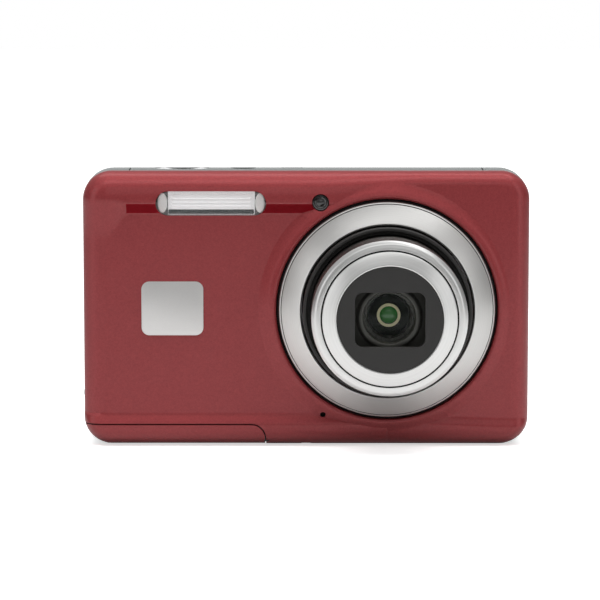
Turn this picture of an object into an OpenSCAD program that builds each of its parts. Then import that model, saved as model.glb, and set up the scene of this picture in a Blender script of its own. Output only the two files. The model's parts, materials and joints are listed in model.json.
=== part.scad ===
// Compact digital camera with a retracting zoom lens, as an assembly of separate pieces.
// Frame: +X to the right seen from the front, -Y out of the lens, +Z up.
// The origin is the middle of the tripod socket's mouth, on the flat underside.

/* [Body] */
// Width over the crowned grey mid-section
body_w = 91.5; // [91:0.1:92]
// Height over the crowned grey mid-section
body_h = 56.5; // [56.4:0.1:57]
// Radius of the four corners seen from the front
corner_r = 6; // [5.5:0.1:6.5]
// Wall of the moulded covers
wall = 1.2; // [1:0.1:1.3]
// Width of the gap at seams
seam = 0.15; // [0.1:0.01:0.2]

/* [Lens] */
// Sideways place of the lens axis from the middle of the body
lens_x = 16.4; // [16:0.1:17]
// Height of the lens axis above the underside
lens_z = 28.25; // [28:0.05:28.5]
// Outer radius of the silver trim ring
trim_r = 22.4; // [22:0.1:22.5]
// Travel of the outer barrel from its place in use to its parked place
outer_travel = 3.9; // [3.5:0.1:3.9]
// Turn of the cam ring from the place in use to the parked place, in degrees
cam_turn = 100; // [90:1:100]

/* [Controls] */
// Length of the shutter button
shutter_len = 10.9; // [10:0.1:11.2]
// Radius of the four-way ring
nav_r = 8.5; // [8:0.1:9]
// Radius of the round rear buttons
button_r = 2.5; // [2.2:0.1:2.6]

/* [Hidden] */
$fn = 72;
eps = 0.05;

// Depths along Y
y_rear = 10.4;          // back face
y_seam = -4.5;          // where the red front cover meets the grey rear cover
y_panel = -8.2;         // flat panels of the front cover
y_brow = -9.3;          // crest of the brow above the panel
y_sill = -9.1;          // crest of the sill below the panel
y_cavity = -7;          // inside face of the front cover
y_back_wall = 9.1;      // inside face of the rear wall
z_mid = body_h / 2;
crown = 0.45;           // how far the grey mid-section stands proud of the red cover's edge
crown_y = 1.5;          // depth of the crown's crest
rear_round = 2.9;       // rounding of the back edges
foot_round = 2;         // rounding of the back edge underneath

// Battery door
door_top = 4.5;         // height of the seam on the front
door_pivot = [-11.2, 1.75];
door_end_r = 2.75;
door_back = 6.4;        // depth at which the door ends
door_lift = 0.1;        // how far the door stays above the surface the camera stands on

// Lens forward distances, measured from Y = 0 towards the subject
t_trim_in = 12.5;
t_outer = 14.1;
t_front_edge = 24.3;
cover_hole_r = 22.98;
flange_r = 23.6;
base_ir = 19.4;
base_or = 20.4;
cam_ir = 17.25;
cam_or = 18.5;
outer_or = 17.1;
outer_ir = 16.24;
front_or = 15.45;
front_ir = 14.5;
trim_ir = 17.38;
plate_r = 10.5;
window_w = 13.8;
window_h = 10.8;
pin_r = 0.7;            // cam pins of the outer barrel
pin_y = -1.9;

// Zoom drive: stub involute gears of one module
gear_m = 0.4;
cam_teeth = 94;
idler_teeth = 20;
pinion_teeth = 12;
idler_dir = 45;         // direction of the idler from the lens axis
pinion_dir = 18;        // direction of the pinion from the idler
gear_y = [-5.4, -3.7];
pressure = 20;
backlash = 0.08;
cam_pitch_r = gear_m * cam_teeth / 2;
idler_at = [
    lens_x + (cam_pitch_r + gear_m * idler_teeth / 2) * cos(idler_dir),
    lens_z + (cam_pitch_r + gear_m * idler_teeth / 2) * sin(idler_dir)
];
pinion_at = [
    idler_at[0] + gear_m * (idler_teeth + pinion_teeth) / 2 * cos(pinion_dir),
    idler_at[1] + gear_m * (idler_teeth + pinion_teeth) / 2 * sin(pinion_dir)
];

// Controls
shutter_at = [-25.5, 1.2];
shutter_top = 56.4;
shutter_wide = 5.6;
power_at = [-12.9, 1.2];
lamp_at = [-2.9, 1.2];
nav_at = [-31, 26.5];
rocker_at = [-31, 47.2];
rocker_size = [15, 5.2];
upper_row = 39.3;
lower_row = 13;
left_col = -37.6;
right_col = -24.4;
key_gap = 0.2;
key_depth = 8.5;        // inner face of the rear keys

// Display
lcd_at = [13.4, 28.4];
lcd_size = [60, 45.6];

// Front windows
flash_at = [-19.3, 49.8];
flash_size = [22.1, 4.7];
af_at = [2.9, 50];
af_r = 1.7;
mic_at = [3.4, 6.6];
badge_at = [-27.2, 28.4];
badge_size = [12.6, 11];

// Underside and side fittings
speaker_x = 35.5;
lug_at = [2, 9.75];     // depth and height
port_y = [-3, 5.4];
port_z = [20.5, 35.5];
port_pivot = [44.95, 6];

focus_dir = -45;
focus_r = 23.6;
focus_at = [lens_x + focus_r * cos(focus_dir), lens_z + focus_r * sin(focus_dir)];

red = [0.55, 0.09, 0.10];
grey = [0.50, 0.52, 0.53];
silver = [0.78, 0.78, 0.77];
black = [0.07, 0.07, 0.075];
steel = [0.62, 0.63, 0.65];
board_green = [0.05, 0.30, 0.16];

// ---- Helpers ----

// Extrudes an (x, z) outline from depth y0 to y1.
module along_y(y0, y1) {
    translate([0, y1, 0])
        rotate([90, 0, 0])
            linear_extrude(y1 - y0)
                children();
}

// Extrudes a (y, z) outline from x0 to x1.
module along_x(x0, x1) {
    translate([x0, 0, 0])
        rotate([90, 0, 90])
            linear_extrude(x1 - x0)
                children();
}

module box(low, high) {
    translate(low)
        cube(high - low);
}

module round_rect(size, r) {
    square([size[0] - 2 * r, size[1]], center = true);
    square([size[0], size[1] - 2 * r], center = true);
    for (sx = [-1, 1], sy = [-1, 1])
        translate([sx * (size[0] / 2 - r), sy * (size[1] / 2 - r)])
            circle(r);
}

module stadium(length, width) {
    square([length - width, width], center = true);
    for (s = [-1, 1])
        translate([s * (length - width) / 2, 0])
            circle(width / 2);
}

// Turns an outline of [radius, forward distance] about the lens axis.
module lens_turn() {
    translate([lens_x, 0, lens_z])
        rotate([90, 0, 0])
            rotate_extrude($fn = 96)
                children();
}

// A ring about the lens axis between forward distances t0 and t1.
module lens_ring(outer, inner, t0, t1) {
    lens_turn()
        translate([inner, t0])
            square([outer - inner, t1 - t0]);
}

// A disc or pin along Y at an (x, z) place.
module disc(at, r, y0, y1) {
    translate([at[0], y1, at[1]])
        rotate([90, 0, 0])
            cylinder(r = r, h = y1 - y0);
}

// Seen from the front: the body's outline, drawn in by inset.
module outline(inset = 0) {
    translate([0, z_mid])
        round_rect([body_w - 2 * inset, body_h - 2 * inset], corner_r - inset);
}

// ---- Outer form of the body ----

function crown_drop(y) = crown * pow((y - crown_y) / 6, 2);
crown_line = concat(
    [for (y = [y_seam : 1 : 7.5]) [y, crown_drop(y)]],
    [for (a = [15 : 15 : 90]) [7.5 + rear_round * sin(a), crown + rear_round * (1 - cos(a))]]
);
foot_line = concat(
    [[y_rear, foot_round + 0.01]],
    [for (a = [75 : -15 : 0]) [y_rear - foot_round + foot_round * sin(a), foot_round * (1 - cos(a))]]
);

module rear_form() {
    intersection() {
        along_y(y_seam, y_rear)
            outline();
        along_x(-60, 60)
            polygon(concat(
                [for (p = crown_line) [p[0], body_h - p[1]]],
                foot_line,
                [[y_seam, 0]]
            ));
        translate([0, 0, -10])
            linear_extrude(80)
                polygon(concat(
                    [for (p = crown_line) [body_w / 2 - p[1], p[0]]],
                    [for (i = [len(crown_line) - 1 : -1 : 0])
                        [crown_line[i][1] - body_w / 2, crown_line[i][0]]]
                ));
    }
}

// Front cover seen from the side: underside, sill, panel, brow and top edge.
front_line = [
    [y_seam, 0], [-6.6, 0], [-7.9, 0.5], [-8.8, 1.6], [y_sill, 3], [y_sill, 4.8],
    [y_panel, 6.5], [y_panel, 47.8], [y_brow, 49.7], [-8.6, 54.2], [-8.2, 55.2],
    [-7.2, 55.9], [-6, body_h - crown], [y_seam, body_h - crown]
];
// Front cover seen from above: how far the front comes forward near the sides.
half_w = body_w / 2 - crown / 2;
side_line = [
    [half_w, y_seam], [half_w, -5.8], [half_w - 0.5, -6.9], [half_w - 1.7, -7.7],
    [half_w - 4.2, -8.3], [half_w - 8, -9.5], [half_w - 10, -11]
];

module front_form() {
    intersection() {
        along_y(-12, y_seam)
            outline(crown / 2);
        along_x(-60, 60)
            polygon(front_line);
        translate([0, 0, -10])
            linear_extrude(80)
                polygon(concat(
                    side_line,
                    [for (i = [len(side_line) - 1 : -1 : 0]) [-side_line[i][0], side_line[i][1]]]
                ));
    }
}

// The part of the body that belongs to the battery door, seen from the front.
module door_area(gap) {
    end_x = door_pivot[0] + door_end_r + gap;
    translate([-60, -1])
        square([60 + door_pivot[0], door_top + gap + 1]);
    translate(door_pivot)
        circle(door_end_r + gap);
    translate([door_pivot[0], -1])
        square([end_x - door_pivot[0], door_pivot[1] + 1]);
}

// ---- Covers ----

module front_cover() {
    color(red)
        difference() {
            union() {
                front_form();
                lens_turn()
                    polygon([[22, 7.5], [26.2, 8.1], [25.2, 8.3], [23.3, 9.5], [22, 9.6]]);
            }
            along_y(y_cavity, y_seam + eps)
                outline(wall + crown / 2);
            disc([lens_x, lens_z], cover_hole_r, -12, y_seam);
            disc([lens_x, lens_z], flange_r + 0.2, -7.8, y_seam);
            along_y(-12, y_seam)
                translate(flash_at)
                    stadium(flash_size[0] + 0.2, flash_size[1] + 0.2);
            disc(af_at, af_r, -12, y_seam);
            disc(mic_at, 0.5, -12, y_seam);
            along_y(-12, y_seam + eps)
                door_area(seam);
        }
}

module key_holes() {
    along_y(y_back_wall - 1, y_rear + 1) {
        translate(nav_at)
            circle(nav_r + key_gap);
        translate(rocker_at)
            stadium(rocker_size[0] + 2 * key_gap, rocker_size[1] + 2 * key_gap);
        for (x = [left_col, right_col], z = [upper_row, lower_row])
            translate([x, z])
                circle(button_r + key_gap);
    }
}

module rear_cover() {
    color(grey)
        difference() {
            rear_form();
            along_y(y_seam - eps, y_back_wall)
                outline(wall + crown / 2);
            // top opening for the top cover
            box([-36.1, y_seam - eps, 54], [36.1, 6.6, 60]);
            // display
            along_y(y_back_wall - 1, y_rear + 1)
                translate(lcd_at)
                    round_rect([lcd_size[0] - 4, lcd_size[1] - 4], 0.8);
            along_y(9.35, y_rear + 1)
                translate(lcd_at)
                    round_rect([lcd_size[0] + 0.2, lcd_size[1] + 0.2], 2.1);
            key_holes();
            along_y(y_seam - eps, door_back + seam)
                door_area(seam);
            // tripod socket
            translate([0, 0, -1])
                cylinder(r = 4.6, h = 4);
            // speaker holes
            for (i = [-2 : 2])
                translate([speaker_x + 2.2 * i, 0, -1])
                    cylinder(r = 0.5, h = 4, $fn = 24);
            // port and strap lug
            box([43, port_y[0] - 0.2, port_z[0] - 0.2], [50, 7, port_z[1] + 0.2]);
            translate([port_pivot[0], port_pivot[1], port_z[0] - 0.8])
                cylinder(r = 0.35, h = port_z[1] - port_z[0] + 1.6);
            box([-50, lug_at[0] - 0.7, lug_at[1] - 2.4], [-43, lug_at[0] + 0.7, lug_at[1] + 2.4]);
            screw_places() {
                translate([0, 0, -1])
                    cylinder(r = 1.4, h = 1.9);
            }
            screw_places() {
                translate([0, 0, -1])
                    cylinder(r = 0.75, h = 5);
            }
        }
}

module top_cover() {
    color(grey)
        difference() {
            intersection() {
                rear_form();
                box([-36, y_seam, 55], [36, 6.5, 60]);
            }
            translate([shutter_at[0], shutter_at[1], 54])
                linear_extrude(10)
                    stadium(shutter_len + 0.3, shutter_wide + 0.3);
            translate([power_at[0], power_at[1], 54])
                cylinder(r = 2.65, h = 10);
            box([lamp_at[0] - 2.2, lamp_at[1] - 0.8, 54], [lamp_at[0] + 2.2, lamp_at[1] + 0.8, 60]);
        }
}

// Sheet-steel frame behind the lens and boards, with a shelf for the top switches.
module chassis() {
    color(steel)
        difference() {
            union() {
                box([-42.5, 6.6, 6], [42.5, 7, 50]);
                box([-34, 4.6, 49.6], [-8, 7, 50]);
                box([-34, -2.6, 49.2], [-8, 7, 49.6]);
            }
            box([lens_x - 6, 6, lens_z - 5], [lens_x + 6, 8, lens_z + 5]);
            for (x = [-38, 39], z = [9, 47])
                disc([x, z], 1.1, 6, 8);
        }
}

// ---- Battery door and its hinge ----

module battery_door() {
    color(grey)
        difference() {
            intersection() {
                union() {
                    front_form();
                    rear_form();
                }
                along_y(-20, door_back)
                    door_area(0);
            }
            intersection() {
                along_y(y_cavity - 0.6, door_back - 1)
                    outline(wall + crown / 2);
                box([-50, -20, 1.3], [door_pivot[0] + 1.6, 20, 10]);
            }
            // room for the hinge at the inner end
            along_y(-1, door_back - 1)
                translate(door_pivot)
                    circle(1.1);
            box([door_pivot[0], -1, 0.5], [door_pivot[0] + 3, door_back - 1, 10]);
            box([-60, -20, -1], [0, 20, door_lift]);
            // the inner end's lower corner, which passes the covers as the door swings
            along_y(-20, door_back + 1)
                difference() {
                    translate([door_pivot[0], -2])
                        square([door_end_r + 1, door_pivot[1] + 2]);
                    translate(door_pivot)
                        circle(door_end_r + 0.05);
                }
        }
}

module door_hinge_plate() {
    color(steel)
        difference() {
            union() {
                box([-39.2, -6, 1.45], [-12.6, 4.6, 1.75]);
                box([-12.8, 0.7, 1.45], [-11.2, 3.8, 1.75]);
                disc(door_pivot, 0.95, 0.7, 3.8);
            }
            disc(door_pivot, 0.55, -10, 10);
        }
}

module door_hinge_pin() {
    color(steel)
        disc(door_pivot, 0.5, -0.5, 4.9);
}

module battery_chamber() {
    color(black)
        difference() {
            union() {
                box([-43.8, -6.6, 4.9], [-8, -0.4, 44.5]);
                // lugs that carry the hinge pin
                for (y = [-0.4, 4])
                    box([-12.1, y, 1.6], [-10.3, y + 0.9, 5]);
                for (y = [-0.4, 4])
                    disc(door_pivot, 0.9, y, y + 0.9);
                box([-12.1, -0.4, 4.9], [-8, 4.9, 5.7]);
            }
            box([-43.4, -6.1, 0], [-8.4, -0.7, 44]);
            box([-16.7, -1.2, 2.5], [-13.3, 0, 12]);
            disc(door_pivot, 0.5, -10, 10);
        }
}

module battery() {
    color([0.2, 0.2, 0.22])
        difference() {
            translate([-25.9, -3.4, 4.7])
                linear_extrude(39.2)
                    round_rect([34.6, 5.2], 0.8);
            for (x = [-12, -16, -20])
                box([x - 1, -7, 43], [x + 1, -4.4, 44]);
        }
}

// Spring-loaded catch that keeps the battery in.
module battery_latch() {
    color([0.85, 0.45, 0.1]) {
        box([-16.4, -0.6, 4.1], [-13.6, 0.6, 11]);
        box([-16.4, -2.2, 4.1], [-13.6, 0.6, 4.5]);
    }
}

module memory_card() {
    color([0.08, 0.1, 0.2])
        difference() {
            box([-42, 1.1, 4.9], [-18, 3.2, 36.9]);
            translate([-18, 0, 36.9])
                rotate([0, 45, 0])
                    cube([5.5, 10, 5.5], center = true);
        }
}

module card_socket() {
    color(steel)
        difference() {
            box([-42.5, 0.7, 8], [-17.5, 3.6, 39]);
            box([-42.2, 1.0, 7], [-17.8, 3.3, 38]);
        }
}

module main_board() {
    color(board_green)
        difference() {
            union() {
                box([-43, 3.7, 8], [-5.5, 4.4, 46]);
                box([-40, 4.4, 12], [-26, 5.4, 26]);
                box([-22, 4.4, 14], [-11, 5.3, 25]);
                box([-38, 4.4, 31], [-28, 5.2, 39]);
                for (i = [0 : 5])
                    box([-22 + 2.4 * i, 4.4, 30], [-20.6 + 2.4 * i, 5.0, 30.8]);
            }
            for (z = [10, 44])
                disc([-7.5, z], 1.1, 3, 6);
        }
}

module key_board() {
    color(board_green) {
        box([-43, 7.1, 8], [-19, 7.5, 50.5]);
        for (x = [left_col, right_col], z = [upper_row, lower_row])
            disc([x, z], 1.6, 7.5, 7.7);
        for (a = [0 : 90 : 270])
            disc([nav_at[0] + 6.5 * cos(a), nav_at[1] + 6.5 * sin(a)], 1.1, 7.5, 7.7);
        disc(nav_at, 1.6, 7.5, 7.7);
        for (s = [-1, 1])
            disc([rocker_at[0] + 5 * s, rocker_at[1]], 1.1, 7.5, 7.7);
    }
}

// ---- Display ----

module lcd_panel() {
    color([0.15, 0.16, 0.18]) {
        box([lcd_at[0] - 29.5, 7.3, lcd_at[1] - 22], [lcd_at[0] + 29.5, 8.9, lcd_at[1] + 22]);
        box([lcd_at[0] - 27.6, 8.9, lcd_at[1] - 20.4], [lcd_at[0] + 27.6, 9.2, lcd_at[1] + 20.4]);
    }
}

module lcd_window() {
    color([0.05, 0.05, 0.06])
        along_y(9.35, 10.3)
            translate(lcd_at)
                round_rect(lcd_size, 2);
}

// ---- Flash and front windows ----

module flash_window() {
    color([0.9, 0.92, 0.94]) {
        along_y(-9.2, -7)
            translate(flash_at)
                stadium(flash_size[0], flash_size[1]);
        along_y(-7, -6.4)
            translate(flash_at)
                stadium(flash_size[0] + 2, flash_size[1] + 1.6);
    }
}

module flash_reflector() {
    color([0.85, 0.86, 0.88])
        difference() {
            along_y(-6.35, -2.8)
                translate(flash_at)
                    square([17.6, 4.8], center = true);
            along_x(flash_at[0] - 8.5, flash_at[0] + 8.5)
                polygon([
                    [-6.4, flash_at[1] - 2.1], [-4.6, flash_at[1] - 1.6], [-3.4, flash_at[1] - 0.8],
                    [-3.1, flash_at[1]], [-3.4, flash_at[1] + 0.8], [-4.6, flash_at[1] + 1.6],
                    [-6.4, flash_at[1] + 2.1]
                ]);
            along_x(flash_at[0] - 10, flash_at[0] + 10)
                translate([-4.1, flash_at[1]])
                    circle(0.72);
        }
}

module flash_tube() {
    color([0.9, 0.93, 0.95])
        along_x(flash_at[0] - 10.2, flash_at[0] + 10.2)
            translate([-4.1, flash_at[1]])
                circle(0.7);
}

module flash_capacitor() {
    color([0.1, 0.1, 0.35])
        along_x(1.5, 27)
            translate([2.6, 51.8])
                circle(2.8);
}

module af_lamp_lens() {
    color([0.15, 0.05, 0.02]) {
        disc(af_at, af_r - 0.05, -8.95, -6.9);
        disc(af_at, 2.2, -6.9, -6.2);
    }
}

module microphone() {
    color(steel)
        disc(mic_at, 1.8, -6.95, -5.4);
}

module speaker() {
    color(black)
        difference() {
            translate([speaker_x, 0, 1.6])
                cylinder(r = 5.6, h = 2.6);
            translate([speaker_x, 0, 1.5])
                cylinder(r = 4.8, h = 0.5);
        }
}

// Plain metal badge on the left panel.
module badge_plate() {
    color(silver)
        along_y(y_panel - 0.3, y_panel)
            translate(badge_at)
                round_rect(badge_size, 1.6);
}

// ---- Top controls ----

module shutter_button() {
    color(silver)
        difference() {
            union() {
                translate([shutter_at[0], shutter_at[1], 54.2])
                    linear_extrude(shutter_top - 54.2)
                        stadium(shutter_len, shutter_wide);
                translate([shutter_at[0], shutter_at[1], 53.4])
                    linear_extrude(0.8)
                        stadium(shutter_len + 1.6, shutter_wide + 1);
                translate([shutter_at[0], shutter_at[1], 51.1])
                    cylinder(r = 1.1, h = 3);
            }
            translate([shutter_at[0], shutter_at[1], shutter_top + 40 - 0.35])
                sphere(r = 40);
        }
}

module power_button() {
    color(silver) {
        translate([power_at[0], power_at[1], 53.4])
            cylinder(r = 3.2, h = 0.7);
        translate([power_at[0], power_at[1], 53.5])
            cylinder(r = 2.5, h = 2.6);
        translate([power_at[0], power_at[1], 51.0])
            cylinder(r = 0.9, h = 3);
    }
}

module status_lamp() {
    color([0.9, 0.92, 0.9]) {
        box([lamp_at[0] - 2.1, lamp_at[1] - 0.7, 54.3], [lamp_at[0] + 2.1, lamp_at[1] + 0.7, 56.3]);
        box([lamp_at[0] - 2.8, lamp_at[1] - 1.2, 54], [lamp_at[0] + 2.8, lamp_at[1] + 1.2, 54.4]);
    }
}

module top_switch_board() {
    color(board_green) {
        box([-33, -2.2, 49.6], [-9, 4.4, 50.1]);
        translate([shutter_at[0], shutter_at[1], 50.1])
            cylinder(r = 1.8, h = 0.15);
        translate([power_at[0], power_at[1], 50.1])
            cylinder(r = 1.6, h = 0.15);
    }
}

// ---- Rear controls ----

module round_key(at) {
    disc(at, button_r, key_depth, y_rear + 0.25);
    disc(at, button_r + 0.7, 8.25, 8.75);
}

module zoom_rocker() {
    color(silver) {
        along_y(8.9, y_rear + 0.5)
            translate(rocker_at)
                stadium(rocker_size[0], rocker_size[1]);
        along_y(8.5, 8.9)
            translate(rocker_at)
                stadium(rocker_size[0] - 1, rocker_size[1] - 1);
    }
}

module movie_button() {
    color(grey)
        round_key([right_col, upper_row]);
}

module mode_button() {
    color(grey)
        round_key([left_col, upper_row]);
}

module menu_button() {
    color(grey)
        round_key([right_col, lower_row]);
}

module play_button() {
    color(grey)
        round_key([left_col, lower_row]);
}

// Inner rocking frame of the four-way ring; it tips up and down.
module nav_web() {
    color(black)
        difference() {
            disc(nav_at, 5, 8.15, 8.55);
            disc(nav_at, 3.9, 8, 9);
        }
}

// The four-way ring tips left and right on the inner frame.
module nav_ring() {
    color(silver)
        difference() {
            disc(nav_at, nav_r, 8.75, y_rear + 0.3);
            disc(nav_at, 3.7, 8, 12);
            disc(nav_at, 6.2, 8, 9.2);
        }
}

module ok_button() {
    color(grey) {
        disc(nav_at, 3.4, 8.9, y_rear + 0.1);
        disc(nav_at, 1.2, 8.2, 9);
    }
}

// ---- Lens: fixed parts ----

module lens_trim_ring() {
    color(silver)
        lens_turn()
            polygon([
                [flange_r, 7.05], [flange_r, 7.7], [trim_r, 7.7], [trim_r, 9.2], [trim_r - 0.35, 9.6],
                [17.75, t_trim_in], [trim_ir, t_trim_in - 0.25], [trim_ir, 7.05]
            ]);
}

module gear_ears() {
    translate(idler_at)
        circle(2.6);
    translate(pinion_at)
        circle(3.9);
    translate(idler_at)
        rotate(pinion_dir)
            translate([0, -2.2])
                square([6, 4.4]);
    translate([lens_x, lens_z])
        rotate(idler_dir)
            translate([19.6, -3.5])
                square([4.5, 7]);
}

module lens_base() {
    color(black)
        difference() {
            union() {
                lens_ring(base_or, base_ir, -5.9, 6.9);
                lens_ring(base_or, 1, -6.5, -5.85);
                along_y(-3.3, -2.5)
                    difference() {
                        gear_ears();
                        translate([lens_x, lens_z])
                            circle(base_ir + 0.3);
                    }
                for (a = [0, 180])
                    disc([lens_x + 11 * cos(a), lens_z], 0.5, -1.5, 6);
                for (a = [150, 260, 20])
                    disc([lens_x + 21.6 * cos(a), lens_z + 21.6 * sin(a)], 1.6, 3.5, 6.5);
            }
            box([lens_x - 5.9, 5, lens_z - 4.9], [lens_x + 5.9, 7, lens_z + 4.9]);
            disc(idler_at, 4.7, gear_y[0] - 0.4, gear_y[1] + 0.35);
            disc(pinion_at, 1.2, -8, 0);
        }
    // pin that carries the idler gear
    color(steel)
        disc(idler_at, 0.6, -6.6, -2.5);
}

// ---- Gears ----

function inv_deg(a) = tan(a) * 180 / PI - a;
function half_angle(teeth, r) =
    90 / teeth - backlash / 4 / (gear_m * teeth / 2) * 180 / PI
    + inv_deg(pressure) - inv_deg(acos(gear_m * teeth / 2 * cos(pressure) / r));

// Stub involute teeth; phase is the direction of one tooth.
module gear_teeth(teeth, phase) {
    pitch_r = gear_m * teeth / 2;
    low = max(pitch_r * cos(pressure) + 0.005, pitch_r - gear_m);
    high = pitch_r + 0.8 * gear_m;
    radii = [for (i = [0 : 4]) low + (high - low) * i / 4];
    circle(pitch_r - gear_m);
    for (k = [0 : teeth - 1])
        rotate(phase + k * 360 / teeth)
            polygon(concat(
                [[pitch_r - 1.5 * gear_m, -low * sin(half_angle(teeth, low))]],
                [for (r = radii) [r * cos(half_angle(teeth, r)), -r * sin(half_angle(teeth, r))]],
                [for (i = [4 : -1 : 0]) [
                    radii[i] * cos(half_angle(teeth, radii[i])),
                    radii[i] * sin(half_angle(teeth, radii[i]))
                ]],
                [[pitch_r - 1.5 * gear_m, low * sin(half_angle(teeth, low))]]
            ));
}

module cam_ring() {
    color(silver)
        difference() {
            union() {
                lens_ring(cam_or, cam_ir, -4.9, 6.3);
                lens_ring(19.3, cam_ir, -4.5, -3.6);
                along_y(gear_y[0], gear_y[1])
                    difference() {
                        translate([lens_x, lens_z])
                            gear_teeth(cam_teeth, idler_dir);
                        translate([lens_x, lens_z])
                            circle(cam_ir);
                    }
            }
            // cam slots that move the outer barrel
            for (a = [90, 210, 330], k = [-4 : 36])
                radial_pin(a - k * cam_turn / 34, pin_y + k * outer_travel / 34, 0.95, 16.5, 19);
        }
}

// A round pin pointing out from the lens axis.
module radial_pin(angle, y, r, r0, r1) {
    translate([lens_x, y, lens_z])
        rotate([0, -angle, 0])
            rotate([0, 90, 0])
                translate([0, 0, r0])
                    cylinder(r = r, h = r1 - r0, $fn = 32);
}

module zoom_motor() {
    color(steel) {
        disc(pinion_at, 3.6, -2.5, 6.4);
        disc(pinion_at, 0.4, -5.8, -2.4);
    }
}

module motor_pinion() {
    color([0.85, 0.8, 0.6])
        along_y(gear_y[0], gear_y[1])
            difference() {
                translate(pinion_at)
                    gear_teeth(pinion_teeth, idler_dir + 180 + 180 / idler_teeth + 180 / pinion_teeth - 36);
                translate(pinion_at)
                    circle(0.4);
            }
}

module idler_gear() {
    color([0.9, 0.9, 0.86])
        along_y(gear_y[0], gear_y[1])
            difference() {
                translate(idler_at)
                    gear_teeth(idler_teeth, idler_dir + 180 + 180 / idler_teeth);
                translate(idler_at)
                    circle(0.65);
            }
}

module focus_motor() {
    color(steel) {
        disc(focus_at, 2.8, -3.5, 4.5);
        disc(focus_at, 2, 4.5, 6.2);
    }
}

// ---- Lens: moving parts ----

module outer_barrel() {
    color(black) {
        lens_ring(outer_or, outer_ir, -1.8, t_outer);
        lens_ring(outer_or - 0.3, 15.6, 11.8, 12.7);
        for (a = [90, 210, 330])
            radial_pin(a, pin_y, pin_r, outer_or - 0.5, cam_or);
    }
}

module front_barrel() {
    color(silver) {
        lens_ring(front_or, front_ir, 9.5, t_front_edge);
        lens_ring(16.1, front_ir, 9.5, 10.3);
        lens_ring(front_ir + 0.2, 8, 17, 18);
    }
}

module front_trim_ring() {
    color(silver)
        lens_turn()
            polygon([
                [front_or, t_front_edge], [front_or, 24.7], [15, 25.2], [14.35, 25.35], [14.2, 24.9],
                [14, 24.9], [13.85, 25.45], [12.6, 26.5], [11.6, 26.95], [plate_r + 0.05, 27.1],
                [plate_r + 0.05, 26], [12.4, 25.6], [13.45, 25.25], [13.5, t_front_edge]
            ]);
}

module front_bezel() {
    color(black)
        difference() {
            union() {
                lens_ring(plate_r, 1, 25.4, 27);
                lens_ring(12.2, 1, 25.2, 25.6);
            }
            along_y(-30, -20)
                translate([lens_x, lens_z])
                    round_rect([window_w, window_h], 1.6);
        }
}

module blade_shape() {
    intersection() {
        circle(13.2);
        translate([-8.2, 5.95])
            square([16.4, 10]);
    }
}

module barrier_blade_upper() {
    color(black)
        along_y(-25.1, -24.7)
            translate([lens_x, lens_z])
                blade_shape();
}

module barrier_blade_lower() {
    color(black)
        along_y(-25.1, -24.7)
            translate([lens_x, lens_z])
                mirror([0, 1])
                    blade_shape();
}

module front_lens_cell() {
    color(black)
        lens_turn()
            polygon([
                [9.8, 18], [9.8, 22], [6.6, 22.3], [6.1, 23.1], [5.2, 23.1], [5.1, 22.4],
                [5.1, 20.2], [4.5, 20.2], [4.1, 18]
            ]);
}

module front_lens() {
    color([0.5, 0.7, 0.6])
        difference() {
            intersection() {
                lens_ring(5.05, 0, 20.2, 22.4);
                translate([lens_x, -22.3 + 16, lens_z])
                    sphere(r = 16, $fn = 96);
            }
            translate([lens_x, -20.2 + 9 - 0.9, lens_z])
                sphere(r = 9, $fn = 96);
        }
}

module shutter_unit() {
    color(black)
        difference() {
            union() {
                lens_ring(7.9, 1.8, 16, 18);
                lens_ring(2.35, 1.8, 18, 18.6);
            }
            box([lens_x - 7, -16.8, lens_z - 1], [lens_x - 6, -16.2, lens_z + 1]);
        }
}

module middle_lens() {
    color([0.5, 0.7, 0.6])
        lens_ring(3.6, 0, 15.1, 16);
}

module focus_group() {
    color(black)
        difference() {
            union() {
                lens_ring(6, 0, -4.4, -2);
                box([lens_x - 12, 2.4, lens_z - 1.2], [lens_x + 12, 3.8, lens_z + 1.2]);
            }
            lens_ring(4.6, 0, -2.4, -1);
            for (s = [-1, 1])
                disc([lens_x + 11 * s, lens_z], 0.56, -2, 6);
        }
}

module image_sensor() {
    color(board_green) {
        box([lens_x - 5.7, 6, lens_z - 4.7], [lens_x + 5.7, 6.9, lens_z + 4.7]);
        box([lens_x - 4.6, 5.1, lens_z - 3.8], [lens_x + 4.6, 6, lens_z + 3.8]);
    }
}

// ---- Bottom and sides ----

module tripod_socket() {
    color(steel)
        difference() {
            union() {
                cylinder(r = 4.5, h = 6.6);
                translate([0, 0, 1.5])
                    cylinder(r = 5.4, h = 1);
            }
            translate([0, 0, -1])
                cylinder(r = 2.55, h = 6.5);
        }
}

module strap_lug() {
    color(silver)
        difference() {
            union() {
                box([-44.2, lug_at[0] - 2.4, lug_at[1] - 3.1], [-43.1, lug_at[0] + 2.4, lug_at[1] + 3.1]);
                intersection() {
                    along_y(lug_at[0] - 0.6, lug_at[0] + 0.6)
                        translate([-44, lug_at[1]])
                            circle(2.2);
                    box([-50, 0, 0], [-43.1, 5, 20]);
                }
            }
            along_y(-5, 8)
                translate([-44.9, lug_at[1]])
                    circle(0.75);
        }
}

module port_cover() {
    color(grey) {
        intersection() {
            rear_form();
            box([44.5, port_y[0], port_z[0]], [50, 5.6, port_z[1]]);
        }
        translate([port_pivot[0], port_pivot[1], port_z[0]])
            cylinder(r = 0.6, h = port_z[1] - port_z[0]);
        translate([port_pivot[0], port_pivot[1], port_z[0] - 0.7])
            cylinder(r = 0.3, h = port_z[1] - port_z[0] + 1.4);
    }
}

module usb_socket() {
    color(steel)
        difference() {
            box([37.4, -2, 24.5], [44, 1.9, 32]);
            box([38.4, -1.7, 24.8], [45, 1.6, 31.7]);
        }
    color(black)
        box([38.4, -0.5, 25.6], [43, 0.3, 30.9]);
}

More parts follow.
